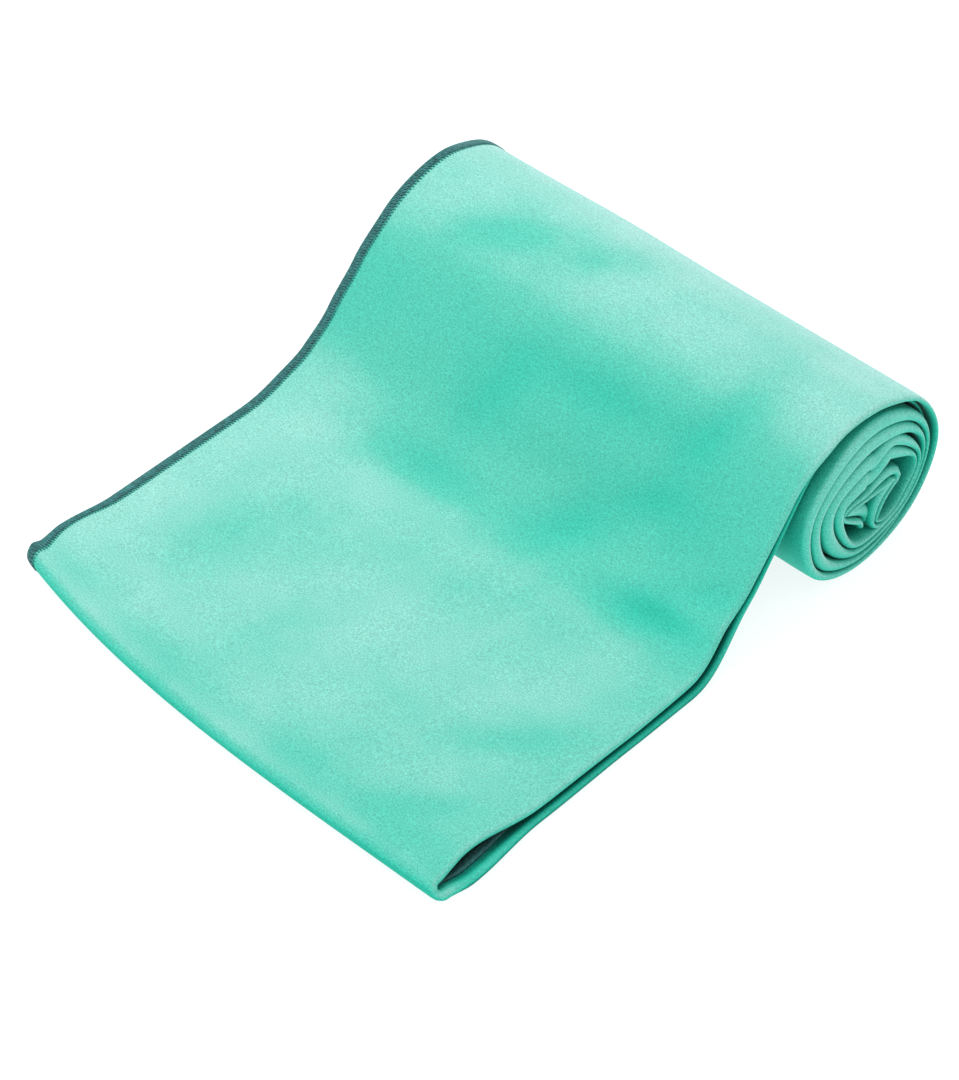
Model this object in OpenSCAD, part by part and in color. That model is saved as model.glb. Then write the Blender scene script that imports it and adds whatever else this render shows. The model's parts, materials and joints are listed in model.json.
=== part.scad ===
// A travel towel, folded into a strip and rolled up, with its front end left lying flat.
//
// The cloth is folded in three along its length, which makes a strip a third of its width.
// The strip is folded in half across, so it has an upper leaf and a lower leaf that meet in
// the front fold. Both leaves are rolled together from their far end. X runs along the roll,
// from left to right, Y runs from the front fold towards the roll, and Z is up. The origin is
// on the surface that the towel lies on, under the middle of the flat panel.

/* [Cloth] */
// Width of the open towel, across its short side
towel_w = 762; // [720:3:810]
// Length of the open towel
towel_l = 1524; // [1480:4:1530]
// Thickness of one ply of the napped cloth
ply_t = 1.3; // [1.2:0.05:1.35]
// Width of the overlocked band along every edge
band_w = 4.5; // [3:0.5:6]

/* [Folded strip] */
// Air between two plies of one leaf
ply_gap = 0.15; // [0.1:0.05:0.2]
// Air between the upper and the lower leaf
leaf_gap = 0.6; // [0.4:0.1:0.8]
// How far the left fold lies inside the outer ply's free edge
left_tuck = 1.5; // [1:0.5:4]
// How far the inner ply's free edge lies inside the right fold
right_tuck = 6; // [4:1:12]
// Length of the front panel, along the middle of the strip
front_len = 82; // [76:1:100]
// How much further forward the right end of the front fold lies than its left end
front_skew = 22; // [2:1:30]
// Length of the flat panel behind it
flat_len = 60; // [56:1:80]

/* [Roll] */
// Height of the roll
roll_h = 90; // [90:1:96]
// Distance from one wrap to the next
pitch = 11.5; // [11:0.1:11.8]
// Steepest angle of the apron, where it climbs to the roll
climb = 55; // [50:1:60]
// Mid-line radius of the concave bend at the foot of the apron
foot_r = 60; // [55:1:70]

/* [Hidden] */
// Sum of the numbers in a list, from index i on
function total(list, i = 0) = i == len(list) ? 0 : list[i] + total(list, i + 1);
// Length of an arc with radius r that turns by a degrees
function arc_len(r, a) = r * a * PI / 180;

// Clearance between two neighbouring solids
clearance = 0.15;
// Largest turn between two points of a curved outline, in degrees
facet_turn = 7.5;
// Turn of each length of the wraps
wrap_turn = 45;
wraps = 8;

strip_w = towel_w / 3;
left = -strip_w / 2;
right = strip_w / 2;
hem_x = right - right_tuck;
leaf_t = 3 * ply_t + 2 * ply_gap;
strip_t = 2 * leaf_t + leaf_gap;

// Mid-line radius at the top of the roll: the strip then also lies on the surface below it
roll_r = (roll_h - strip_t) / 2 + pitch / 4;
// Mid-line radius after a turn of a degrees around the roll
function wrap_r(a) = roll_r - pitch * a / 360;
// The straight slope makes up the height that the two bends leave
slope_len = (roll_h - strip_t - (foot_r + roll_r) * (1 - cos(climb))) / sin(climb);

// The lengths that bend, in order from the flat panel: [length of the mid-line, its turn]
OPEN_RUNS = [
    [flat_len, 0],
    [arc_len(foot_r, climb / 2), climb / 2],
    [arc_len(foot_r, climb / 2), climb / 2],
    [slope_len, 0],
    [arc_len(roll_r, climb / 2), -climb / 2],
    [arc_len(roll_r, climb / 2), -climb / 2],
    for (i = [0:wraps - 1]) [arc_len(wrap_r(wrap_turn * (i + 0.5)), wrap_turn), -wrap_turn]
];
FLAT = 0;
FOOT = 1;
INSTEP = 2;
SLOPE = 3;
SHOULDER = 4;
CREST = 5;
TURN_1 = 6;
TURN_2 = 7;
TURN_3 = 8;
TURN_4 = 9;
TURN_5 = 10;
TURN_6 = 11;
TURN_7 = 12;
TURN_8 = 13;
CORE = 14;

// The core takes the cloth that is left, less the overlocked band at its end. The radius falls
// in proportion to the turn, so the turn solves a quadratic equation.
core_len = towel_l / 2 - front_len - total([for (run = OPEN_RUNS) run[0]]) - band_w;
core_r = wrap_r(360);
core_turn = (core_r - sqrt(core_r ^ 2 - pitch * core_len / PI)) * 360 / pitch;
core_runs = ceil(core_turn / wrap_turn);
core_step = core_turn / core_runs;
end_r = wrap_r(360 + core_turn);
RUNS = concat(
    OPEN_RUNS,
    [for (i = [0:core_runs - 1]) [arc_len(wrap_r(360 + core_step * (i + 0.5)), core_step), -core_step]],
    [[band_w, -band_w / end_r * 180 / PI]]
);
END = CORE + core_runs;

// A point a share u of the way along a bend that starts at p with heading h
function along(p, h, run, u) =
    run[1] == 0
    ? p + run[0] * u * [cos(h), sin(h)]
    : let (r = run[0] / run[1] * 180 / PI)
      p + r * [sin(h + run[1] * u) - sin(h), cos(h) - cos(h + run[1] * u)];

// The mid-line's heading and place at the start of each run
HEADINGS = [for (i = 0, h = 0; i < len(RUNS); h = h + RUNS[i][1], i = i + 1) h];
STARTS = [
    for (i = 0, p = [-flat_len / 2, strip_t / 2]; i < len(RUNS);
         p = along(p, HEADINGS[i], RUNS[i], 1), i = i + 1) p
];

// A point of run i, at share u of its length and height d above its mid-line
function place(i, u, d) =
    let (h = HEADINGS[i] + RUNS[i][1] * u)
    along(STARTS[i], HEADINGS[i], RUNS[i], u) + d * [-sin(h), cos(h)];

// Points along one side of runs first to last, at height d, with clearance at both ends
function side_line(first, last, d) = [
    for (i = [first:last])
        let (
            n = max(1, ceil(abs(RUNS[i][1]) / facet_turn)),
            gap = clearance / RUNS[i][0],
            from = i == first ? gap : 0,
            to = i == last ? 1 - gap : 1
        )
        for (k = [(i == first ? 0 : 1):n]) place(i, from + (to - from) * k / n, d)
];

// One leaf across the strip, as bands: [depth of its outer face, of its inner face, left, right]
LEAF = [
    // Outer ply, as far as its overlocked edge
    [0, ply_t, left + band_w + clearance, right],
    // Soft fold at the right, from the outer to the middle ply
    [0, 2 * ply_t + ply_gap, right - ply_t, right],
    // Middle ply
    [ply_t + ply_gap, 2 * ply_t + ply_gap, left + left_tuck, right],
    // Soft fold at the left, from the middle to the inner ply
    [ply_t + ply_gap, leaf_t, left + left_tuck, left + left_tuck + ply_t],
    // Inner ply, as far as its overlocked edge
    [leaf_t - ply_t, leaf_t, left + left_tuck, hem_x - band_w - clearance]
];
// The overlocked long edges of one leaf: the outer ply's at the left, the inner ply's inside
EDGING = [
    [0, ply_t, left, left + band_w],
    [leaf_t - ply_t, leaf_t, hem_x - band_w, hem_x]
];
UPPER = 1;
LOWER = -1;
SIDES = [UPPER, LOWER];

module cloth() { color([0.51, 0.87, 0.80]) children(); }
module thread() { color([0.20, 0.52, 0.50]) children(); }

function reverse(list) = [for (i = [len(list) - 1:-1:0]) list[i]];

// The bands of one leaf round the bends of runs first to last
module bend(first, last, side, bands) {
    for (band = bands)
        translate([band[2], 0, 0])
            rotate([90, 0, 90])
                linear_extrude(band[3] - band[2])
                    polygon(concat(
                        side_line(first, last, side * (strip_t / 2 - band[0])),
                        reverse(side_line(first, last, side * (strip_t / 2 - band[1])))
                    ));
}

// The bands of one leaf in section, at their heights above the mid-line
module section(side, bands) {
    for (band = bands)
        translate([band[2], side == UPPER ? strip_t / 2 - band[1] : band[0] - strip_t / 2])
            square([band[3] - band[2], band[1] - band[0]]);
}

// The same section along the straight run i
module straight(i, side, bands) {
    translate([0, STARTS[i][0], STARTS[i][1]])
        rotate([HEADINGS[i], 0, 0])
            translate([0, RUNS[i][0] - clearance, 0])
                rotate([90, 0, 0])
                    linear_extrude(RUNS[i][0] - 2 * clearance)
                        section(side, bands);
}

module run(i, side, bands) {
    if (RUNS[i][1] == 0)
        straight(i, side, bands);
    else
        bend(i, i, side, bands);
}

module leaf_run(i, side) { cloth() run(i, side, LEAF); }
module edging_run(i) { thread() for (side = SIDES) run(i, side, EDGING); }

// The line of the front fold: its place at x, and its angle to the X axis
function front_y(x) = -flat_len / 2 - front_len + strip_t / 2 - front_skew * x / strip_w;
skew_angle = atan(front_skew / strip_w);

// The same section from the front fold back to the flat panel
module front_panel(side, bands) {
    difference() {
        translate([0, -flat_len / 2 - clearance, strip_t / 2])
            rotate([90, 0, 0])
                linear_extrude(front_len + front_skew)
                    section(side, bands);
        translate([0, front_y(0) + clearance, 0])
            rotate([0, 0, -skew_angle])
                translate([-strip_w, -2 * front_skew - strip_t, -strip_t])
                    cube([2 * strip_w, 2 * front_skew + strip_t, 3 * strip_t]);
    }
}

// The same bands where they turn round the front fold, from the upper leaf to the lower
module front_bight(bands) {
    n = ceil(180 / facet_turn);
    arc = [for (k = [0:n]) [-sin(180 * k / n), cos(180 * k / n)]];
    for (band = bands)
        intersection() {
            translate([0, front_y(0), strip_t / 2])
                rotate([0, 0, -skew_angle])
                    rotate([90, 0, 90])
                        linear_extrude(strip_w * 1.2, center = true)
                            polygon(concat(
                                (strip_t / 2 - band[0]) * arc,
                                (strip_t / 2 - band[1]) * reverse(arc)
                            ));
            translate([band[2], front_y(right) - strip_t, 0])
                cube([band[3] - band[2], front_skew + 2 * strip_t, strip_t]);
        }
}

// The front panel, from the cross fold to the flat panel
module front_upper_leaf() { cloth() front_panel(UPPER, LEAF); }
module front_lower_leaf() { cloth() front_panel(LOWER, LEAF); }
module front_fold() { cloth() front_bight(LEAF); }
module front_edging() { thread() for (side = SIDES) front_panel(side, EDGING); }
module front_fold_edging() { thread() front_bight(EDGING); }

// The flat panel that the towel rests on
module flat_upper_leaf() { leaf_run(FLAT, UPPER); }
module flat_lower_leaf() { leaf_run(FLAT, LOWER); }
module flat_edging() { edging_run(FLAT); }

// The foot, where the apron starts to leave the surface
module foot_upper_leaf() { leaf_run(FOOT, UPPER); }
module foot_lower_leaf() { leaf_run(FOOT, LOWER); }
module foot_edging() { edging_run(FOOT); }

// The instep, the upper half of the same concave bend
module instep_upper_leaf() { leaf_run(INSTEP, UPPER); }
module instep_lower_leaf() { leaf_run(INSTEP, LOWER); }
module instep_edging() { edging_run(INSTEP); }

// The straight slope up to the roll
module slope_upper_leaf() { leaf_run(SLOPE, UPPER); }
module slope_lower_leaf() { leaf_run(SLOPE, LOWER); }
module slope_edging() { edging_run(SLOPE); }

// The shoulder, where the apron starts to curl over
module shoulder_upper_leaf() { leaf_run(SHOULDER, UPPER); }
module shoulder_lower_leaf() { leaf_run(SHOULDER, LOWER); }
module shoulder_edging() { edging_run(SHOULDER); }

// The crest, up to the top of the roll
module crest_upper_leaf() { leaf_run(CREST, UPPER); }
module crest_lower_leaf() { leaf_run(CREST, LOWER); }
module crest_edging() { edging_run(CREST); }

// The outer wrap, eighth 1 of 8
module turn_1_upper_leaf() { leaf_run(TURN_1, UPPER); }
module turn_1_lower_leaf() { leaf_run(TURN_1, LOWER); }
module turn_1_edging() { edging_run(TURN_1); }

// The outer wrap, eighth 2 of 8
module turn_2_upper_leaf() { leaf_run(TURN_2, UPPER); }
module turn_2_lower_leaf() { leaf_run(TURN_2, LOWER); }
module turn_2_edging() { edging_run(TURN_2); }

// The outer wrap, eighth 3 of 8
module turn_3_upper_leaf() { leaf_run(TURN_3, UPPER); }
module turn_3_lower_leaf() { leaf_run(TURN_3, LOWER); }
module turn_3_edging() { edging_run(TURN_3); }

// The outer wrap, eighth 4 of 8
module turn_4_upper_leaf() { leaf_run(TURN_4, UPPER); }
module turn_4_lower_leaf() { leaf_run(TURN_4, LOWER); }
module turn_4_edging() { edging_run(TURN_4); }

// The outer wrap, eighth 5 of 8
module turn_5_upper_leaf() { leaf_run(TURN_5, UPPER); }
module turn_5_lower_leaf() { leaf_run(TURN_5, LOWER); }
module turn_5_edging() { edging_run(TURN_5); }

// The outer wrap, eighth 6 of 8
module turn_6_upper_leaf() { leaf_run(TURN_6, UPPER); }
module turn_6_lower_leaf() { leaf_run(TURN_6, LOWER); }
module turn_6_edging() { edging_run(TURN_6); }

// The outer wrap, eighth 7 of 8
module turn_7_upper_leaf() { leaf_run(TURN_7, UPPER); }
module turn_7_lower_leaf() { leaf_run(TURN_7, LOWER); }
module turn_7_edging() { edging_run(TURN_7); }

// The outer wrap, eighth 8 of 8
module turn_8_upper_leaf() { leaf_run(TURN_8, UPPER); }
module turn_8_lower_leaf() { leaf_run(TURN_8, LOWER); }
module turn_8_edging() { edging_run(TURN_8); }

// The core, every wrap inside the outer one, which keeps its shape
module core_upper_leaf() { cloth() bend(CORE, END - 1, UPPER, LEAF); }
module core_lower_leaf() { cloth() bend(CORE, END - 1, LOWER, LEAF); }
module core_edging() { thread() for (side = SIDES) bend(CORE, END - 1, side, EDGING); }
module end_edging() { thread() for (side = SIDES) bend(END, END, side, concat(LEAF, EDGING)); }

front_upper_leaf();
front_lower_leaf();
front_fold();
front_edging();
front_fold_edging();
flat_upper_leaf();
flat_lower_leaf();
flat_edging();
foot_upper_leaf();
foot_lower_leaf();
foot_edging();
instep_upper_leaf();
instep_lower_leaf();
instep_edging();
slope_upper_leaf();
slope_lower_leaf();
slope_edging();
shoulder_upper_leaf();
shoulder_lower_leaf();
shoulder_edging();
crest_upper_leaf();
crest_lower_leaf();
crest_edging();
turn_1_upper_leaf();
turn_1_lower_leaf();
turn_1_edging();
turn_2_upper_leaf();
turn_2_lower_leaf();
turn_2_edging();
turn_3_upper_leaf();
turn_3_lower_leaf();
turn_3_edging();
turn_4_upper_leaf();
turn_4_lower_leaf();
turn_4_edging();
turn_5_upper_leaf();
turn_5_lower_leaf();
turn_5_edging();
turn_6_upper_leaf();
turn_6_lower_leaf();
turn_6_edging();
turn_7_upper_leaf();
turn_7_lower_leaf();
turn_7_edging();
turn_8_upper_leaf();
turn_8_lower_leaf();
turn_8_edging();
core_upper_leaf();
core_lower_leaf();
core_edging();
end_edging();
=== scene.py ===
"""Looks of a rolled travel towel: one continuous cloth, its overlocked edges, light and camera.

The cloth is one closed outline (three plies folded over one another) swept from the core of the
roll along the upper leaf, round the front fold and back along the lower leaf. Lengths in this
file are millimetres until a mesh is made.
"""
import json
import math

import bpy
import numpy as np
from mathutils import Matrix, Vector


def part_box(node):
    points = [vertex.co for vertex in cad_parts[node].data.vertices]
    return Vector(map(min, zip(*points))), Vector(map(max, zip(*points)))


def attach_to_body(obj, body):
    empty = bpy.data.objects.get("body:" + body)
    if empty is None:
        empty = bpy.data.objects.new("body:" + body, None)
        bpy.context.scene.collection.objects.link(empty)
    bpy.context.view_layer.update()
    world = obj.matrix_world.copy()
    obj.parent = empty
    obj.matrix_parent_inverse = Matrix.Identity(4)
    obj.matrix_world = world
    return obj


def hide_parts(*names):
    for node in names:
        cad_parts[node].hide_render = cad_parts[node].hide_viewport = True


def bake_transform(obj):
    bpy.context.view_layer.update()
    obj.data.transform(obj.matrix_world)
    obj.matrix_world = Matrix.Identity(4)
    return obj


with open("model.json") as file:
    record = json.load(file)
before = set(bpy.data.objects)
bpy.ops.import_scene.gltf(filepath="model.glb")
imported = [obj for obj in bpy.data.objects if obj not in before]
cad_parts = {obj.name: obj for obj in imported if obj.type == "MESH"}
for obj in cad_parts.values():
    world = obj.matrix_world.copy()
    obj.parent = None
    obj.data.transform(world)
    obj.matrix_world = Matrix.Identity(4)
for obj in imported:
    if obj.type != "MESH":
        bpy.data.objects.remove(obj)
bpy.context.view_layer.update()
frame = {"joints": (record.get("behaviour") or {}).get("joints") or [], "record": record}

MM = 0.001
JOINTS = {joint["name"]: joint for joint in frame["joints"]}
RATIOS = {c["joint"]: c["ratio"] for c in frame["record"]["behaviour"]["couplings"]}


def hinge(name):
    """A hinge's place across the strip: its y and z in millimetres."""
    return np.array(JOINTS[name]["pos_m"][1:]) / MM


def cad_box(name):
    """Lowest and highest corner of a CAD node, in millimetres."""
    return [np.array(corner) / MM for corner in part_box(name)]


def smoothstep(x, low, high):
    """Rises softly from 0 at low to 1 at high."""
    t = np.clip((np.asarray(x, float) - low) / (high - low), 0, 1)
    return t * t * (3 - 2 * t)


def bell(x, centre, width):
    """A soft bump that is 1 at centre and has nearly gone two widths away."""
    return np.exp(-(((np.asarray(x, float) - centre) / width) ** 2))


# ---------------------------------------------------------------- sizes taken from the frame
LEFT = cad_box("flat_edging")[0][0]
RIGHT, _, STRIP_T = cad_box("flat_upper_leaf")[1]
WIDTH = RIGHT - LEFT
HALF_T = STRIP_T / 2
FLAT_Y = hinge("front_turn_back")[0]
FOOT_Y = hinge("unroll")[0]
CLIMB = math.radians(JOINTS["unroll"]["range_deg"][1]) * (
    1 + RATIOS["instep_bend"] + RATIOS["slope_bend"]
)
FOOT_R = (hinge("instep_bend")[0] - FOOT_Y) / math.sin(CLIMB / 2) - HALF_T
ROLL_H = hinge("turn_1_bend")[1]
PITCH = ROLL_H - hinge("core_bend")[1]
ROLL_R = (ROLL_H - STRIP_T) / 2 + PITCH / 4
SLOPE = (ROLL_H - STRIP_T - (FOOT_R + ROLL_R) * (1 - math.cos(CLIMB))) / math.sin(CLIMB)
# The y of the front fold's centre line at the right and at the left end of the strip
fold_low, fold_high = cad_box("front_fold")
FOLD_RIGHT = fold_low[1] + HALF_T
FOLD_LEFT = fold_high[1]

# ---------------------------------------------------------------- sizes chosen for the looks
PLY = 1.3            # one ply
PLY_GAP = 0.15       # air between two plies
LEAF_T = 3 * PLY + 2 * PLY_GAP
HEM_TUCK = 7.0       # how far the inner ply's edge lies inside the right fold
HEM = RIGHT - HEM_TUCK
BAND = 5.0           # width of the overlocked band
FOLD_BOW = 9.0       # how far the middle of the front fold bows forward
BOW_LEAN = 0.45      # how much more of that bow lies left of the middle than right of it
MOUTH = 2.2          # how far the leaves part at the front right corner
MOUTH_LEN = 58.0     # length of that mouth along the right edge
BRIDGE = 3.6         # how far the upper leaf's right edge stands off where it spans the foot
CROWN = 2.2          # swell of the outer wrap on top of the roll
DRAPE = 0.9          # depth of the upper leaf's soft waves
SLUMP = 0.06         # share of its height that the roll loses at its left end
STEP = 0.5           # distance between two points of the mid-line
LOOSE = 5.0          # how far the mid-line is smoothed in the loose wraps
TIGHT = 1.2          # how far it is smoothed in the crumpled core
ROW = 2.5            # distance between two rows of the mesh
FINE_ROW = 1.1       # the same in the crumpled core
BIGHT = math.pi / 2 * HALF_T   # half the length of the mid-line round the front fold


# ---------------------------------------------------------------- the mid-line of the strip
def arc(points, heading, length, turn):
    """Adds an arc to a polyline of y, z and returns the new heading."""
    n = max(2, int(length / STEP))
    for _ in range(n):
        middle = heading + turn / n / 2
        points.append(points[-1] + length / n * np.array([math.cos(middle), math.sin(middle)]))
        heading += turn / n
    return heading


TOP_RUN = 4.5        # level length of the strip on top of the roll
ROLL_HALF_H = 41.5   # from the middle of the roll up to the mid-line on its top
# The roll, eight points to a wrap from its top inwards, then the crumpled core. Each row holds
# the mid-line's y and z from the middle of the roll, how thick the upper and the lower leaf lie
# against their nominal thickness, and how far the right edge of each stands back.
ROLL_SHAPE = (
    (0, 41.5, 1.0, 0.75, 0, 5), (29.2, 28.2, 0.62, 0.5, 0, 5), (43, -0.5, 0.52, 0.5, 0, 5),
    (29.3, -29.6, 0.42, 0.4, 0, 2), (-2, -41, 0.5, 0.5, 0, 0.6),
    (-29.4, -30, 1.0, 1.4, 0.2, 0.7), (-37, -1.5, 1.35, 1.55, 0.5, 1),
    (-24.5, 16.5, 1.6, 2.0, 0.8, 1.3), (0, 26.3, 2.2, 2.2, 1.1, 1.6),
    (27, 18, 1.2, 1.35, 1.2, 1.8), (38.6, -1.5, 0.46, 0.44, 1, 1.4),
    (26.8, -26.8, 0.4, 0.4, 1, 1.5), (-2.5, -36, 0.6, 0.7, 1.5, 2),
    (-14.5, -24, 1.75, 1.1, 2, 2.4), (-19.5, -10, 2.0, 1.5, 2.2, 2.6),
    (-15.5, -1, 2.1, 1.8, 2.4, 2.8), (0, 4.7, 2.1, 2.3, 2.4, 3), (5, 2.4, 2.1, 1.9, 3, 4),
    (9.5, 6, 1.9, 1.8, 2.4, 3), (15, 9.5, 1.5, 1.7, 2.2, 3), (20, 7.7, 1.3, 1.6, 2, 2.8),
    (27.4, 2.5, 1.0, 1.2, 1.8, 2.6), (33.2, -4, 0.5, 0.6, 1.6, 2.4),
    (33.4, -11.5, 0.42, 0.42, 1.6, 2), (28.6, -20, 0.4, 0.4, 1.6, 2.4),
    (22, -27.4, 0.36, 0.36, 1.8, 2.4), (14.5, -31, 0.4, 0.4, 2, 2.8),
    (9, -29.5, 0.6, 0.45, 2.6, 3.4), (9.8, -24, 0.9, 0.5, 3, 3), (13.5, -17.8, 1.2, 0.55, 3, 3),
    (19.6, -12.6, 0.8, 0.6, 3, 3), (22, -10.6, 0.5, 0.9, 3, 3), (19, -9.9, 0.55, 1.3, 3, 4),
    (12, -10, 0.6, 1.3, 3, 4), (2, -9.6, 0.65, 0.7, 3, 3), (-8, -9.6, 0.6, 0.6, 3, 3),
    (-12.3, -11.2, 0.5, 0.6, 3, 3), (-9, -15, 1.0, 0.6, 4, 3.4), (-3, -19.5, 1.5, 0.7, 5, 4),
    (3, -24, 1.4, 0.8, 5.5, 4.5), (4.6, -29, 1.0, 0.8, 6, 5)
)
CRUMPLE_ROW = 15     # the row of ROLL_SHAPE where the crumpled core begins


def catmull_rom(points):
    """A smooth line through all columns of points, and the index at which it passes each."""
    p = np.array([points[0], *points, points[-1]], float)
    out = []
    knots = []
    for a, b, c, d in zip(p, p[1:], p[2:], p[3:]):
        knots.append(len(out))
        n = max(2, int(np.linalg.norm((c - b)[:2]) / STEP))
        for t in np.arange(n) / n:
            out.append(0.5 * (2 * b + (c - a) * t + (2 * a - 5 * b + 4 * c - d) * t ** 2
                              + (3 * b - a - 3 * c + d) * t ** 3))
    return np.array(out), knots


def smooth(values, width):
    """Gaussian smoothing of a path's columns, with the ends held."""
    reach = int(4 * width / STEP)
    kernel = bell(np.arange(-reach, reach + 1) * STEP, 0, width * math.sqrt(2))
    kernel /= kernel.sum()
    first = 2 * values[0] - values[reach:0:-1]
    last = 2 * values[-1] - values[-2:-reach - 2:-1]
    return np.apply_along_axis(
        lambda v: np.convolve(v, kernel, "valid"), 0, np.concatenate([first, values, last])
    )


def resample(points):
    """The path at even steps of its length, and the length at each point it was made from."""
    s = np.concatenate([[0], np.cumsum(np.linalg.norm(np.diff(points[:, :2], axis=0), axis=1))])
    even = np.arange(0, s[-1], STEP)
    return np.stack([np.interp(even, s, points[:, k]) for k in range(points.shape[1])], 1), s


FRONT_LEN = FLAT_Y - (FOLD_LEFT + FOLD_RIGHT) / 2
FOOT_ARC = FOOT_R * CLIMB / 2
ROLL_ARC = ROLL_R * CLIMB / 2
# The mid-line up to the roll: the body that starts where a run ends, its length and its turn
RUNS = (
    ("flat", FRONT_LEN, 0), ("foot", FOOT_Y - FLAT_Y, 0), ("instep", FOOT_ARC, CLIMB / 2),
    ("slope", FOOT_ARC, CLIMB / 2), ("shoulder", SLOPE, 0), ("crest", ROLL_ARC, -CLIMB / 2)
)
path = [np.array([FLAT_Y - FRONT_LEN, HALF_T])]
marks = {}
heading = 0
for body, length, turn in RUNS:
    heading = arc(path, heading, length, turn)
    marks[body] = len(path) - 1
arc(path, heading, ROLL_ARC, -CLIMB / 2)
arc(path, 0, TOP_RUN, 0)
roll_start = len(path) - 1
ROLL_Y, ROLL_TOP = path[-1]
ROLL_Z = ROLL_TOP - ROLL_HALF_H
spiral, knots = catmull_rom(ROLL_SHAPE)
spiral[:, :2] += (ROLL_Y, ROLL_Z)
straight = np.array([[y, z, *ROLL_SHAPE[0][2:]] for y, z in path])
path = np.concatenate([straight, spiral[1:]])
TURNS = ["turn_%d" % i for i in range(1, 9)]
marks.update({body: roll_start + knot for body, knot in zip(TURNS + ["core"], knots)})
marks["crumple"] = roll_start + knots[CRUMPLE_ROW]

path, raw_s = resample(path)
MARK = {name: raw_s[index] for name, index in marks.items()}
S = np.arange(len(path)) * STEP
crumpled = smoothstep(S, MARK["crumple"] - 25, MARK["crumple"] + 5)[:, None]
path = smooth(path, LOOSE) * (1 - crumpled) + smooth(path, TIGHT) * crumpled
tangent = np.gradient(path[:, :2], axis=0)
HEADING = np.unwrap(np.arctan2(tangent[:, 1], tangent[:, 0]))
HEADING[: int(MARK["flat"] / STEP)] = 0
S_END = S[-1]


# ---------------------------------------------------------------- how the strip departs from it
def curve(s, pairs):
    """The value at path length s, on a soft curve through pairs of path length and value."""
    at, value = np.array(pairs, float).T
    i = np.clip(np.searchsorted(at, s) - 1, 0, len(at) - 2)
    t = smoothstep(s, at[i], at[i + 1])
    return value[i] + (value[i + 1] - value[i]) * t


# How far each leaf's edges lie to the right of their straight lines: path length, distance. On
# the roll, the right edges follow ROLL_SHAPE instead.
UPPER_RIGHT = (
    (0, 0), (18, -2), (50, 1.5), (100, 1.5), (140, 0.5), (185, -5), (235, -4.5),
    (MARK["crest"], -1.5), (MARK["turn_1"], 0)
)
LOWER_RIGHT = (
    (0, 5), (12, 7), (50, 3.5), (100, 2.5), (140, 2), (185, -5.5), (235, -5.5),
    (MARK["turn_1"], -5)
)
UPPER_LEFT = (
    (0, -2.6), (4.5, -1.4), (18, -2.6), (50, 0.3), (130, 0), (158, -1.2), (178, 0), (200, 1.5),
    (225, 3.1), (250, 5.2), (MARK["turn_1"], 6), (MARK["core"], 6.5), (S_END, 8)
)
LOWER_LEFT = ((0, 0.5), (8, 0.5), (30, 2), (195, 2), (MARK["turn_1"], 7), (S_END, 8.5))


def right_edge(s, upper):
    """How far a leaf's right edge lies beyond its straight line."""
    recess = np.interp(s, S, path[:, 4 if upper else 5])
    lead = curve(s, UPPER_RIGHT if upper else LOWER_RIGHT)
    return np.where(s < MARK["turn_1"], lead, -recess)


def left_edge(s, upper):
    """How far a leaf's left edge lies inside its straight line."""
    return curve(s, UPPER_LEFT if upper else LOWER_LEFT)


def puff(s, x, upper):
    """Thickness of a leaf against its nominal one. The wraps are packed at the lower right of
    the roll; at its upper left they lie loose and swell towards their soft right fold."""
    k = np.where(s > MARK["crest"], np.interp(s, S, path[:, 2 if upper else 3]), 1)
    k = 1 + (k - 1) * smoothstep(s, MARK["crest"], MARK["turn_1"] + 12)
    swell = np.where(k > 1, smoothstep(x, 40, RIGHT - 6), 1.0)
    return 1 + (k - 1) * swell


def fold_line(x):
    """The y of the front fold's centre line."""
    u = 2 * x / WIDTH
    bow = FOLD_BOW * (1 - u * u) * (1 - BOW_LEAN * u)
    return (FOLD_LEFT + FOLD_RIGHT) / 2 + (FOLD_RIGHT - FOLD_LEFT) / 2 * u - bow


# Shallow dents in the upper leaf: path length, x, length, width, depth, turn
DENTS = (
    (156, 88, 30, 9, 2.8, 1.45), (158, -40, 34, 10, 2.0, 1.5), (166, 28, 24, 12, 2.6, 0.9),
    (178, 112, 18, 7, 1.5, 1.2), (205, -30, 36, 14, 1.4, 0.3), (228, 20, 44, 12, 1.6, 1.5),
    (60, 84, 26, 9, 1.0, 0.9), (84, -70, 40, 16, 0.9, 0.2), (268, -64, 26, 8, 1.5, 1.2),
    (278, -18, 22, 8, 1.4, 1.0), (200, 66, 20, 10, 1.2, 1.2), (20, 94, 20, 6, 1.0, 0.9),
    (240, 78, 26, 9, 1.3, 0.4)
)


def dents(s, x, spread=1.0):
    """Depth of the upper leaf's dents; spread widens each of them."""
    total = 0.0 * s
    for at_s, at_x, length, width, depth, turn in DENTS:
        along = (s - at_s) * math.cos(turn) + (x - at_x) * math.sin(turn)
        across = (x - at_x) * math.cos(turn) - (s - at_s) * math.sin(turn)
        total = total + depth * bell(along, 0, length * spread) * bell(across, 0, width * spread)
    return total


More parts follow.
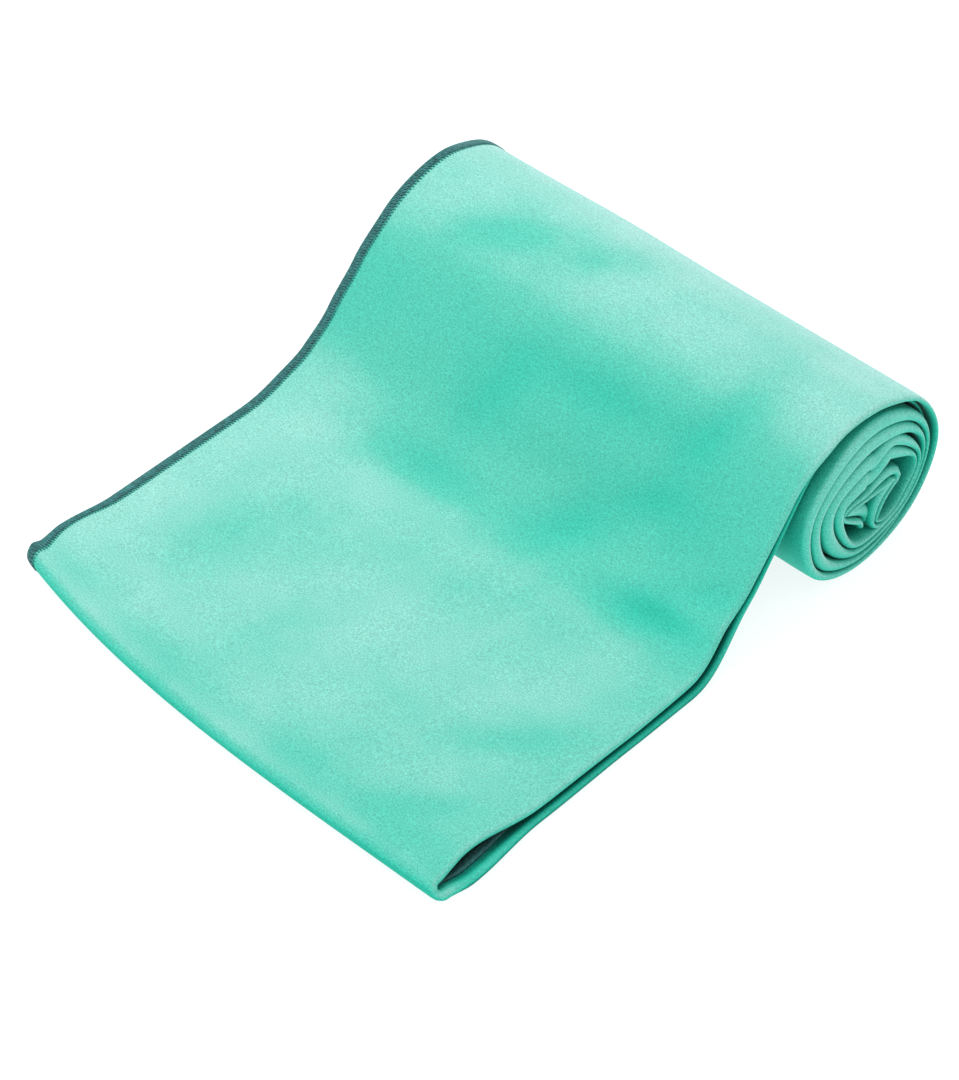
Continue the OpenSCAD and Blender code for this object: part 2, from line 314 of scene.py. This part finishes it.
def painted_light_and_tone(q, x):
    """Painted light and shade worked into the cloth's colour: a painted highlight on the crest of
    the roll; painted shade on the slope, in the dents and on the lower leaf; and darker just
    behind the front fold and towards the right of the flat part. It fades out on the roll."""
    s = np.maximum(np.abs(q) - BIGHT, 0)
    to_right = x / RIGHT * (1 - smoothstep(s, MARK["instep"], MARK["shoulder"]))
    # A painted highlight on the crest, painted shade on the slope and in the dents; darker just
    # behind the front fold and towards the right
    on_crest = 0.06 * bell(s, 265, 25)
    on_slope = 0.03 * bell(s, 195, 50)
    by_fold = 0.08 * bell(s, 8, 8)
    on_right = 0.08 * to_right
    in_dents = 0.12 * dents(s, x, 1.1)
    upper = on_crest - on_slope - by_fold - on_right - in_dents
    # Painted shade on the lower leaf
    lower = -0.45 * smoothstep(s, 0, 12)
    on_roll = smoothstep(s, MARK["turn_1"], MARK["turn_2"])
    return np.where(q > 0, upper, lower) * (1 - on_roll)


def lift(s, x):
    """How far the upper leaf stands off its place in the strip."""
    inward = np.clip(RIGHT - x, 0, None)
    mouth_u = np.clip(s / MOUTH_LEN, 0, 1)
    mouth = MOUTH * np.sin(math.pi * mouth_u ** 0.62) ** 1.5 * np.exp(-((inward / 26) ** 1.6))
    bridge = BRIDGE * bell(s, MARK["instep"] - 2, 17) * np.exp(-((inward / 34) ** 1.6))
    crown = CROWN * bell(x, -42, 42) * bell(s, MARK["turn_1"] + 10, 24)
    free = smoothstep(s, 4, 30) * (1 - smoothstep(s, MARK["turn_1"] - 40, MARK["turn_1"]))
    off_edge = smoothstep(x - LEFT, 2, 25)
    waves = 1.3 + 0.5 * np.sin(s / 31 + x / 47) + 0.4 * np.sin(s / 17 - x / 29 + 1.3)
    return mouth + bridge + crown + DRAPE * (waves - dents(s, x)) * free * off_edge


def mid(s, x):
    """Place (y, z) and heading of the mid-line; the front part stretches to the skewed fold."""
    y = np.interp(s, S, path[:, 0])
    z = np.interp(s, S, path[:, 1])
    h = np.interp(s, S, HEADING)
    u = np.clip(s / MARK["flat"], 0, 1)
    front = fold_line(x) * (1 - u) + FLAT_Y * u
    return np.where(s < MARK["flat"], front, y), np.where(s < MARK["flat"], HALF_T, z), h


def slump(x, y):
    """Share of its height that the roll loses towards its left end, most above the apron."""
    return SLUMP * bell(y, 115, 42) * smoothstep(-x, -70, -LEFT)


def place(q, x, depth):
    """The point of the cloth at path coordinate q (positive on the upper leaf, negative on the
    lower, 0 on the nose of the front fold), across at x, and at depth below its outer face."""
    q, x, depth = np.broadcast_arrays(*(np.asarray(v, float) for v in (q, x, depth)))
    s = np.maximum(np.abs(q) - BIGHT, 0)
    y, z, h = mid(s, x)
    turn = np.clip(q / BIGHT, -1, 1)
    up = (turn + 1) / 2
    angle = turn * math.pi / 2
    side_y = np.where(s > 0, -np.sin(h) * turn, -np.cos(angle))
    side_z = np.where(s > 0, np.cos(h) * turn, np.sin(angle))
    thick = puff(s, x, True) * up + puff(s, x, False) * (1 - up)
    r = (HALF_T - depth) * thick + lift(s, x) * up
    to_right = smoothstep(x, 0, RIGHT)
    to_left = smoothstep(-x, 0, -LEFT)
    right = right_edge(s, True) * up + right_edge(s, False) * (1 - up)
    left = left_edge(s, True) * up + left_edge(s, False) * (1 - up)
    y, z = y + r * side_y, z + r * side_z
    return np.stack([x + right * to_right + left * to_left, y, z * (1 - slump(x, y))], -1)


# ---------------------------------------------------------------- one leaf in section
def ellipse(x, depth, rx, rd, start, stop, n):
    """n points of an ellipse between two angles in degrees."""
    a = np.radians(np.linspace(start, stop, n))
    return [(x + rx * math.cos(t), depth + rd * math.sin(t)) for t in a]


def line(x0, d0, x1, d1, n):
    """n points from the first end of a line, without its second end."""
    u = np.linspace(0, 1, n + 1)[:-1]
    return [(x0 + (x1 - x0) * t, d0 + (d1 - d0) * t) for t in u]


def leaf_outline():
    """The closed outline of the three folded plies: x, and depth below the outer face."""
    fold_d = 2.5 * PLY
    slit_r = RIGHT - 24
    slit_l = LEFT + 12
    second = PLY + PLY_GAP
    # The outer face, from its free edge to the soft right fold and round it
    out = line(LEFT + 0.8, 0, LEFT + 8, 0, 4)
    out += line(LEFT + 8, 0, RIGHT - 9, 0, 44)
    out += line(RIGHT - 9, 0, RIGHT - 2.6, 0.06, 3)
    out += ellipse(RIGHT - 2.6, LEAF_T / 2 + 0.1, 2.6, LEAF_T / 2 - 0.04, -90, 90, 13)
    # In under the fold, along the slit above the inner ply, and round that ply's free edge
    out += line(RIGHT - 3.4, LEAF_T + 0.05, HEM + 0.6, fold_d, 3)
    out += line(HEM + 0.6, fold_d, slit_r, 2 * PLY + PLY_GAP, 5)
    out += line(slit_r, 2 * PLY + 2 * PLY_GAP, HEM - 1, fold_d + 0.15, 4)
    out += ellipse(HEM - 0.5, fold_d + 0.62, 0.6, 0.48, -90, 90, 5)
    # The inner face, back to the left fold and round it
    out += line(HEM - 2, LEAF_T + 0.1, HEM - 16, LEAF_T, 4)
    out += line(HEM - 16, LEAF_T, LEFT + 8, LEAF_T, 16)
    fold_x = LEFT + 3.3
    fold_m = (LEAF_T + second) / 2
    out += ellipse(fold_x, fold_m, 1.8, (LEAF_T - second) / 2, 90, 270, 9)
    # The slit below the outer ply, and round that ply's free edge
    out += line(fold_x + 1.5, second, slit_l, second, 3)
    out += line(slit_l, PLY, LEFT + 1.2, PLY, 4)
    out += ellipse(LEFT + 0.8, PLY / 2, 0.6, PLY / 2, 90, 265, 6)
    return np.array(out)


# ---------------------------------------------------------------- meshes
def make_mesh(name, vertices, faces, normals, cloth_at):
    """A smooth mesh. cloth_at gives each vertex its place on the cloth, for the painted light and
    tone worked into its colour.
    """
    mesh = bpy.data.meshes.new(name)
    mesh.from_pydata((vertices * MM).tolist(), [], faces)
    mesh.update()
    mesh.polygons.foreach_set("use_smooth", [True] * len(mesh.polygons))
    # Painted light and shade for the cloth's colour, kept with each vertex
    painted_light_shift = mesh.attributes.new("painted_light_and_tone", "FLOAT", "POINT")
    painted_light_shift.data.foreach_set("value", painted_light_and_tone(*cloth_at.T).astype(np.float32))
    mesh.normals_split_custom_set_from_vertices(normals.tolist())
    obj = bpy.data.objects.new(name, mesh)
    bpy.context.scene.collection.objects.link(obj)
    return obj


def unit(v):
    """Vectors of length 1."""
    return v / np.maximum(np.linalg.norm(v, axis=-1, keepdims=True), 1e-9)


def tube_faces(rows, cols, offset):
    """Quads of a grid that closes round its columns."""
    i = np.arange(rows - 1)[:, None] * cols
    j = np.arange(cols)
    k = (j + 1) % cols
    quads = np.stack([i + j, i + cols + j, i + cols + k, i + k], -1) + offset
    return quads.reshape(-1, 4).tolist()


def count(parts):
    """How many vertices a mesh in the making has."""
    return sum(len(v) for v in parts["vertices"])


def add_tube(parts, p, normals, cloth_at, caps):
    """Adds a grid of points that closes round its columns, with a cap at its chosen ends."""
    rows, cols = p.shape[:2]
    offset = count(parts)
    parts["faces"] += tube_faces(rows, cols, offset)
    if caps[0]:
        parts["faces"].append([offset + j for j in range(cols)])
    if caps[1]:
        parts["faces"].append([offset + (rows - 1) * cols + j for j in reversed(range(cols))])
    parts["vertices"].append(p.reshape(-1, 3))
    parts["normals"].append(normals.reshape(-1, 3))
    parts["cloth_at"].append(cloth_at)


def sweep(q, outline, where):
    """Points and normals of a closed outline swept along rows q; where(q, x, depth) places it."""
    rows = q[:, None]
    x, depth = outline.T[:, None, :]
    p = where(rows, x, depth)
    around = np.roll(p, -1, 1) - np.roll(p, 1, 1)
    along = where(rows + 0.4, x, depth) - where(rows - 0.4, x, depth)
    return p, unit(np.cross(around, along))


def add_leaf(parts, q):
    """The three folded plies, swept along rows q. They run on into the next piece, so only the
    cloth's own end has a cap."""
    p, normals = sweep(q, OUTLINE, place)
    cloth_at = np.stack(np.broadcast_arrays(q[:, None], OUTLINE[:, 0]), -1).reshape(-1, 2)
    caps = np.abs(q[[0, -1]]) > BIGHT + S_END - 2
    add_tube(parts, p, normals, cloth_at, caps)


def new_parts():
    """A mesh in the making."""
    return {"vertices": [], "normals": [], "cloth_at": [], "faces": []}


def finish_parts(name, parts):
    """The object made of all that was added to a mesh in the making."""
    return make_mesh(
        name,
        np.concatenate(parts["vertices"]),
        parts["faces"],
        np.concatenate(parts["normals"]),
        np.concatenate(parts["cloth_at"])
    )


# ---------------------------------------------------------------- how the cloth is cut into pieces
FOLD_ROWS = 15       # rows round the front fold
CORE_CUT = 12.0      # how far inside the core its last blend ends
CHAIN = [run[0] for run in RUNS] + TURNS + ["core"]
STARTS = [MARK[body] for body in CHAIN]
CENTRES = {body: (a + b) / 2 for body, a, b in zip(CHAIN, STARTS, STARTS[1:])}
CENTRES["front"] = MARK["flat"] / 2
CENTRES["core"] = MARK["core"] + CORE_CUT


def rows_between(s0, s1):
    """Rows from s0 to s1, closer together where the mid-line bends tightly."""
    fine_from = MARK["crumple"] - 20
    if s0 < fine_from and s1 > MARK["crumple"]:
        return np.concatenate([rows_between(s0, fine_from)[:-1], rows_between(fine_from, s1)])
    step = FINE_ROW if s0 >= fine_from else ROW
    return np.linspace(s0, s1, max(2, int(round((s1 - s0) / step))) + 1)


def piece_rows(s0, s1):
    """The rows of a piece on the upper leaf, and the same on the lower leaf."""
    upper = BIGHT + rows_between(s0, s1)[::-1]
    return [upper, -upper[::-1]]


def front_rows():
    """The rows of the front piece, from its upper leaf round the fold to its lower leaf."""
    s = rows_between(0, CENTRES["front"])
    bight = np.linspace(BIGHT, -BIGHT, FOLD_ROWS)
    return [np.concatenate([BIGHT + s[:0:-1], bight, -BIGHT - s[1:]])]


# ---------------------------------------------------------------- the overlocked edges
STITCH = 1.5         # distance between two long stitches
THREAD_R = 0.36      # radius of the thread
THREAD_SIDES = 5     # sides of the thread in section
# A stitch from its inner end over the face, round the edge and back below: distance from the
# edge, depth below the face, and how far it leans along the edge
LONG_STITCH = np.array([
    (5.2, 0.45, 0.9), (4.6, -0.22, 0.85), (3.0, -0.26, 0.55), (1.2, -0.24, 0.2),
    (0.1, -0.05, 0.0), (-0.35, 0.6, -0.1), (0.1, 1.3, -0.2), (1.6, 1.55, -0.3)
])
SHORT_STITCH = LONG_STITCH.copy()
SHORT_STITCH[:3, 0] = (3.9, 3.3, 2.4)


def band_width(q):
    """Width of the band: the edge rolls under a little just before the front corner."""
    s = np.maximum(np.abs(q) - BIGHT, 0)
    return BAND + 1.2 * bell(s, 0, 8) - 1.7 * bell(s, 30, 16)


def outer_edge(q, inward, depth):
    """A point beside the outer ply's free edge, on the left of the strip."""
    return place(q, LEFT + inward * band_width(q) / BAND, depth)


def hem_edge(q, inward, depth):
    """A point beside the inner ply's free edge, tucked inside the right fold."""
    return place(q, HEM - inward, LEAF_T - depth)


def band_outline():
    """A thin closed band round a ply's free edge, under the stitches: inward and depth."""
    out = line(4.4, PLY - 0.2, 0.6, PLY + 0.05, 3)
    out += ellipse(0.4, PLY / 2, 0.75, PLY / 2 + 0.16, 90, 270, 8)
    out += line(0.4, -0.12, 4.6, -0.10, 4)
    return np.array(out)


def add_band(parts, q, edge):
    """The closed band along rows q of one edge."""
    p, normals = sweep(q, band_outline(), edge)
    add_tube(parts, p, normals, np.zeros((p.shape[0] * p.shape[1], 2)), (True, True))


def add_threads(parts, q_low, q_high, edge):
    """Overlock stitches along one edge from q_low up to q_high, every second one short."""
    half = STITCH / 2
    k = np.arange(math.ceil(q_low / half), math.ceil(q_high / half))
    for phase, stitch in ((0, LONG_STITCH), (1, SHORT_STITCH)):
        q_here = k[k % 2 == phase] * half
        if len(q_here) == 0:
            continue
        inward, depth, lean = (column[None, :] for column in stitch.T)
        q = q_here[:, None] + lean
        centre = edge(q, inward, depth)
        along = unit(edge(q + 0.2, inward, depth) - edge(q - 0.2, inward, depth))
        run = unit(np.gradient(centre, axis=1))
        out = unit(np.cross(run, along))
        a = np.arange(THREAD_SIDES)[None, None, :, None] * 2 * math.pi / THREAD_SIDES
        ring = np.cos(a) * out[:, :, None, :] + np.sin(a) * along[:, :, None, :]
        vertices = centre[:, :, None, :] + THREAD_R * ring
        n, m, c = vertices.shape[:3]
        i = np.arange(n)[:, None, None] * m * c
        r = np.arange(m - 1)[None, :, None] * c
        j = np.arange(c)[None, None, :]
        jj = (j + 1) % c
        quads = np.stack([i + r + j, i + r + c + j, i + r + c + jj, i + r + jj], -1)
        parts["faces"] += (quads + count(parts)).reshape(-1, 4).tolist()
        parts["vertices"].append(vertices.reshape(-1, 3))
        parts["normals"].append(ring.reshape(-1, 3))
        parts["cloth_at"].append(np.zeros((n * m * c, 2)))


# ---------------------------------------------------------------- materials (distances in metres)
def node(tree, kind, *links, **settings):
    """A new node. Its links are pairs of an output and the input it feeds; a setting whose name
    has underscores for spaces sets the input of that name, or else the node's own property."""
    n = tree.nodes.new(kind)
    for key, value in settings.items():
        label = key.replace("_", " ")
        if label in n.inputs:
            n.inputs[label].default_value = value
        else:
            setattr(n, key, value)
    for output, index in links:
        tree.links.new(output, n.inputs[index])
    return n


def maths(tree, operation, *operands):
    """The result of a Math node whose operands are outputs of other nodes or plain numbers."""
    n = node(tree, "ShaderNodeMath", operation=operation)
    for index, operand in enumerate(operands):
        if isinstance(operand, (int, float)):
            n.inputs[index].default_value = operand
        else:
            tree.links.new(operand, n.inputs[index])
    return n.outputs[0]


def times(tree, colour, factor):
    """A colour multiplied by another output."""
    mix = node(tree, "ShaderNodeMix", (colour, 6), (factor, 7), data_type="RGBA",
               blend_type="MULTIPLY")
    mix.inputs[0].default_value = 1.0
    return mix.outputs[2]


def noise(tree, **settings):
    """A noise texture that stays with its object."""
    coord = node(tree, "ShaderNodeTexCoord")
    return node(tree, "ShaderNodeTexNoise", (coord.outputs["Object"], "Vector"), **settings)


def ramp(tree, value, stops):
    """The colour of a ramp at a value; stops are pairs of a position and a colour."""
    n = node(tree, "ShaderNodeValToRGB", (value, "Fac"))
    ends = n.color_ramp.elements
    for i, (position, colour) in enumerate(stops):
        stop = ends[0] if i == 0 else ends[-1] if i == len(stops) - 1 else ends.new(position)
        stop.position = position
        stop.color = (*colour, 1)
    return n.outputs["Color"]


def openness(tree, distance):
    """How open the air is round a point, from 0 in a narrow fold to 1 on the outside."""
    n = node(tree, "ShaderNodeAmbientOcclusion", Distance=distance)
    n.samples = 6
    return n.outputs["AO"]


def material(name, colour_of, **surface):
    """A material. colour_of(tree) works out its colour, and surface sets its shader's inputs."""
    mat = bpy.data.materials.new(name)
    mat.use_nodes = True
    shader = mat.node_tree.nodes["Principled BSDF"]
    for key, value in surface.items():
        shader.inputs[key.replace("_", " ")].default_value = value
    mat.node_tree.links.new(colour_of(mat.node_tree), shader.inputs["Base Color"])
    return mat


# Where the light mostly comes from, for the painted light on the cloth
PAINTED_LIGHT_FROM = Vector((0.5, -0.05, 0.86))
PAINTED_LIGHT_MAX = 1.2      # where the painted light reaches its palest colour
PATCHY = 0.48        # how much the painted light differs from patch to patch
PAINTED_SHEEN = 0.85           # painted sheen where the surface is seen at a low angle
# The cloth's colour against the painted light: painted shade in deep folds up to its palest lit
# colour
PAINTED_LIGHT_COLOURS = (
    (0.0, (0.001, 0.12, 0.09)), (0.2, (0.003, 0.44, 0.31)), (0.45, (0.055, 0.60, 0.45)),
    (0.8, (0.135, 0.635, 0.505)), (1.2, (0.45, 0.79, 0.73))
)
THREAD_COLOURS = ((0.3, (0.008, 0.12, 0.125)), (0.7, (0.04, 0.31, 0.30)))
FLOOR_COLOURS = ((0.0, (0.36, 0.38, 0.38)), (1.0, (0.38, 0.40, 0.40)))


def grain(tree):
    """The pile's fine grain."""
    return noise(tree, Scale=1450.0, Detail=2.0, Roughness=0.6).outputs["Fac"]


def cloth_colour(tree):
    """Painted light: paler where the surface faces a fixed light direction, with a painted sheen
    where it is seen at a low angle, and painted shade in the folds, where the saturated colour
    shows; fine grain and soft brushed patches break up the surface."""
    cloud = noise(tree, Scale=17.0, Detail=6.0, Roughness=0.6)
    # Painted shade in folds and narrow gaps, from ambient occlusion
    open_air = openness(tree, 0.02)
    geometry = node(tree, "ShaderNodeNewGeometry")
    # Painted light: paler where the surface faces a fixed light direction
    facing = node(tree, "ShaderNodeVectorMath", (geometry.outputs["Normal"], 0),
                  operation="DOT_PRODUCT")
    facing.inputs[1].default_value = PAINTED_LIGHT_FROM
    lit = node(tree, "ShaderNodeMapRange", (facing.outputs["Value"], "Value"),
               From_Min=-0.45, From_Max=0.97)
    reach = maths(tree, "MULTIPLY", lit.outputs["Result"], open_air)
    # Painted light and shade that each vertex carries
    painted_light_shift = node(tree, "ShaderNodeAttribute", attribute_name="painted_light_and_tone").outputs["Fac"]
    patches = maths(tree, "MULTIPLY_ADD", cloud.outputs["Fac"], PATCHY, 1 - PATCHY / 2)
    body = maths(tree, "MULTIPLY_ADD", reach, patches, painted_light_shift)
    # A painted sheen where the surface is seen at a low angle, kept out of the folds
    rim = node(tree, "ShaderNodeLayerWeight", Blend=0.5)
    sharp = maths(tree, "POWER", rim.outputs["Facing"], 3.0)
    painted_sheen = maths(tree, "MULTIPLY", sharp, open_air)
    painted_light = maths(tree, "MULTIPLY_ADD", painted_sheen, PAINTED_SHEEN, body)
    stops = [(position / PAINTED_LIGHT_MAX, colour) for position, colour in PAINTED_LIGHT_COLOURS]
    colour = ramp(tree, maths(tree, "DIVIDE", painted_light, PAINTED_LIGHT_MAX), stops)
    speck = node(tree, "ShaderNodeMapRange", (grain(tree), "Value"),
                 From_Min=0.3, From_Max=0.7, To_Min=0.73, To_Max=1.19)
    return times(tree, colour, speck.outputs["Result"])


def raise_grain(mat):
    """Gives the cloth the bump of its grain."""
    tree = mat.node_tree
    bump = node(tree, "ShaderNodeBump", (grain(tree), "Height"), Strength=0.5, Distance=0.0005)
    tree.links.new(bump.outputs["Normal"], tree.nodes["Principled BSDF"].inputs["Normal"])


def thread_colour(tree):
    """Uneven in tone, with painted shade where the thread lies deep between the leaves."""
    tone = noise(tree, Scale=700.0, Detail=2.0)
    colour = ramp(tree, tone.outputs["Fac"], THREAD_COLOURS)
    # Painted shade where the thread lies deep, from ambient occlusion
    return times(tree, colour, openness(tree, 0.012))


def floor_colour(tree):
    """Pale and almost even."""
    tone = node(tree, "ShaderNodeTexNoise", Scale=3.0, Detail=1.0)
    return ramp(tree, tone.outputs["Fac"], FLOOR_COLOURS)


CLOTH = material("mint_suede_microfibre", cloth_colour, Roughness=0.95, Specular_IOR_Level=0.1,
                 Sheen_Weight=0.12, Sheen_Roughness=0.4, Sheen_Tint=(0.6, 1.0, 0.92, 1))
raise_grain(CLOTH)
THREAD = material("teal_overlock_thread", thread_colour, Roughness=0.55, Sheen_Weight=0.1)
FLOOR = material("pale_floor", floor_colour, Roughness=0.9, Specular_IOR_Level=0.1,
                 Emission_Color=(0.95, 1.0, 1.0, 1), Emission_Strength=0.86)


# ---------------------------------------------------------------- pieces
OUTLINE = leaf_outline()
FRONT_BEND = 16.0    # how far the turned-back front's bend reaches to either side of its hinge


def attach(obj, mat, nodes, bodies):
    """Gives a piece its material and slot, and rides it on one body; a piece that lies between two
    bodies keeps its place in the world, baked into its mesh."""
    obj.data.materials.append(mat)
    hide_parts(*nodes)
    if len(bodies) == 1:
        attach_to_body(obj, bodies[0])
    else:
        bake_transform(obj)


def build_cloth(name, rows, nodes, bodies, ends=None):
    """A length of the cloth, both leaves."""
    parts = new_parts()
    for q in rows:
        add_leaf(parts, q)
    attach(finish_parts(name, parts), CLOTH, nodes, bodies)


def build_edging(name, rows, nodes, bodies, ends=None):
    """A length of the edging: the outer edge, and the inner one with its stitches where they
    could be seen."""
    parts = new_parts()
    for q in rows:
        add_band(parts, q, outer_edge)
        add_threads(parts, min(q), max(q), outer_edge)
        add_band(parts, q, hem_edge)
        if min(abs(q)) < MARK["slope"]:
            add_threads(parts, min(q), max(q), hem_edge)
    attach(finish_parts(name, parts), THREAD, nodes, bodies)


def build_strip(build, kind, node_endings, front_end, core_end):
    """All pieces of one kind: the front, the pieces that blend each body into the next, and the
    core. Each blended piece stands in for the next body's CAD nodes."""
    def nodes_of(body):
        return [body + ending for ending in node_endings]

    build("front_" + kind, front_rows(), nodes_of("front") + front_end, ["front"])
    for a, b in zip(["front"] + CHAIN, CHAIN):
        s0, s1 = CENTRES[a], CENTRES[b]
        nodes = nodes_of(b) if b != "core" else []
        ends = (s0 + 2, s1 - 2)
        if a == "front":
            ends = (MARK["flat"] - FRONT_BEND, MARK["flat"] + FRONT_BEND)
        build("%s_to_%s_%s" % (a, b, kind), piece_rows(s0, s1), nodes, [a, b], ends)
    core_rows = piece_rows(CENTRES["core"], S_END - 1)
    build("core_" + kind, core_rows, nodes_of("core") + core_end, ["core"])


build_strip(build_cloth, "cloth", ("_upper_leaf", "_lower_leaf"), ["front_fold"], [])
build_strip(build_edging, "edging", ("_edging",), ["front_fold_edging"], ["end_edging"])


# ---------------------------------------------------------------- floor, light, camera (metres)
FLOOR_SIZE = 8.0
FLOOR_DROP = 0.0004  # how far the floor lies below the frame's origin
bpy.ops.mesh.primitive_plane_add(size=FLOOR_SIZE, location=(0, 0, -FLOOR_DROP))
floor = bpy.context.object
floor.name = "floor"
floor.data.materials.append(FLOOR)


def area_light(name, place_at, target, size, power):
    """A round soft light at a place, turned to a target."""
    data = bpy.data.lights.new(name, "AREA")
    data.shape = "DISK"
    data.size = size
    data.energy = power
    lamp = bpy.data.objects.new(name, data)
    lamp.location = place_at
    lamp.rotation_euler = (target - Vector(place_at)).to_track_quat("-Z", "Y").to_euler()
    bpy.context.scene.collection.objects.link(lamp)


TARGET = Vector((0, 0.03, 0.03))
area_light("key", (-0.9, 0.3, 1.6), TARGET, 1.6, 16)
area_light("fill", (0.3, -1.6, 1.2), TARGET, 1.8, 5)
world = bpy.data.worlds.new("studio")
world.use_nodes = True
world.node_tree.nodes["Background"].inputs["Color"].default_value = (0.96, 1.0, 1.0, 1)
world.node_tree.nodes["Background"].inputs["Strength"].default_value = 0.75
bpy.context.scene.world = world
bpy.context.scene.view_settings.view_transform = "Standard"

# The camera looks at the target from the front right and above. The shift, a share of the
# picture's longer side, sets where the target shows.
AZIMUTH, ELEVATION, TILT = (math.radians(a) for a in (42.87, 42.85, 0.6))
DISTANCE = 2.0
LENS = 158.7
SHIFT = (0.0164, -0.0335)
view_dir = Vector((
    -math.sin(AZIMUTH) * math.cos(ELEVATION),
    math.cos(AZIMUTH) * math.cos(ELEVATION),
    -math.sin(ELEVATION)
))
level = Vector((math.cos(AZIMUTH), math.sin(AZIMUTH), 0))
upright = level.cross(view_dir)
cam_x = level * math.cos(TILT) + upright * math.sin(TILT)
cam_y = upright * math.cos(TILT) - level * math.sin(TILT)
camera_data = bpy.data.cameras.new("camera")
camera_data.sensor_width = 36
camera_data.lens = LENS
camera_data.shift_x, camera_data.shift_y = SHIFT
camera_data.clip_end = 20
camera = bpy.data.objects.new("camera", camera_data)
turned = Matrix((cam_x, cam_y, -view_dir)).transposed().to_4x4()
camera.matrix_world = Matrix.Translation(TARGET - view_dir * DISTANCE) @ turned
bpy.context.scene.collection.objects.link(camera)
bpy.context.scene.camera = camera
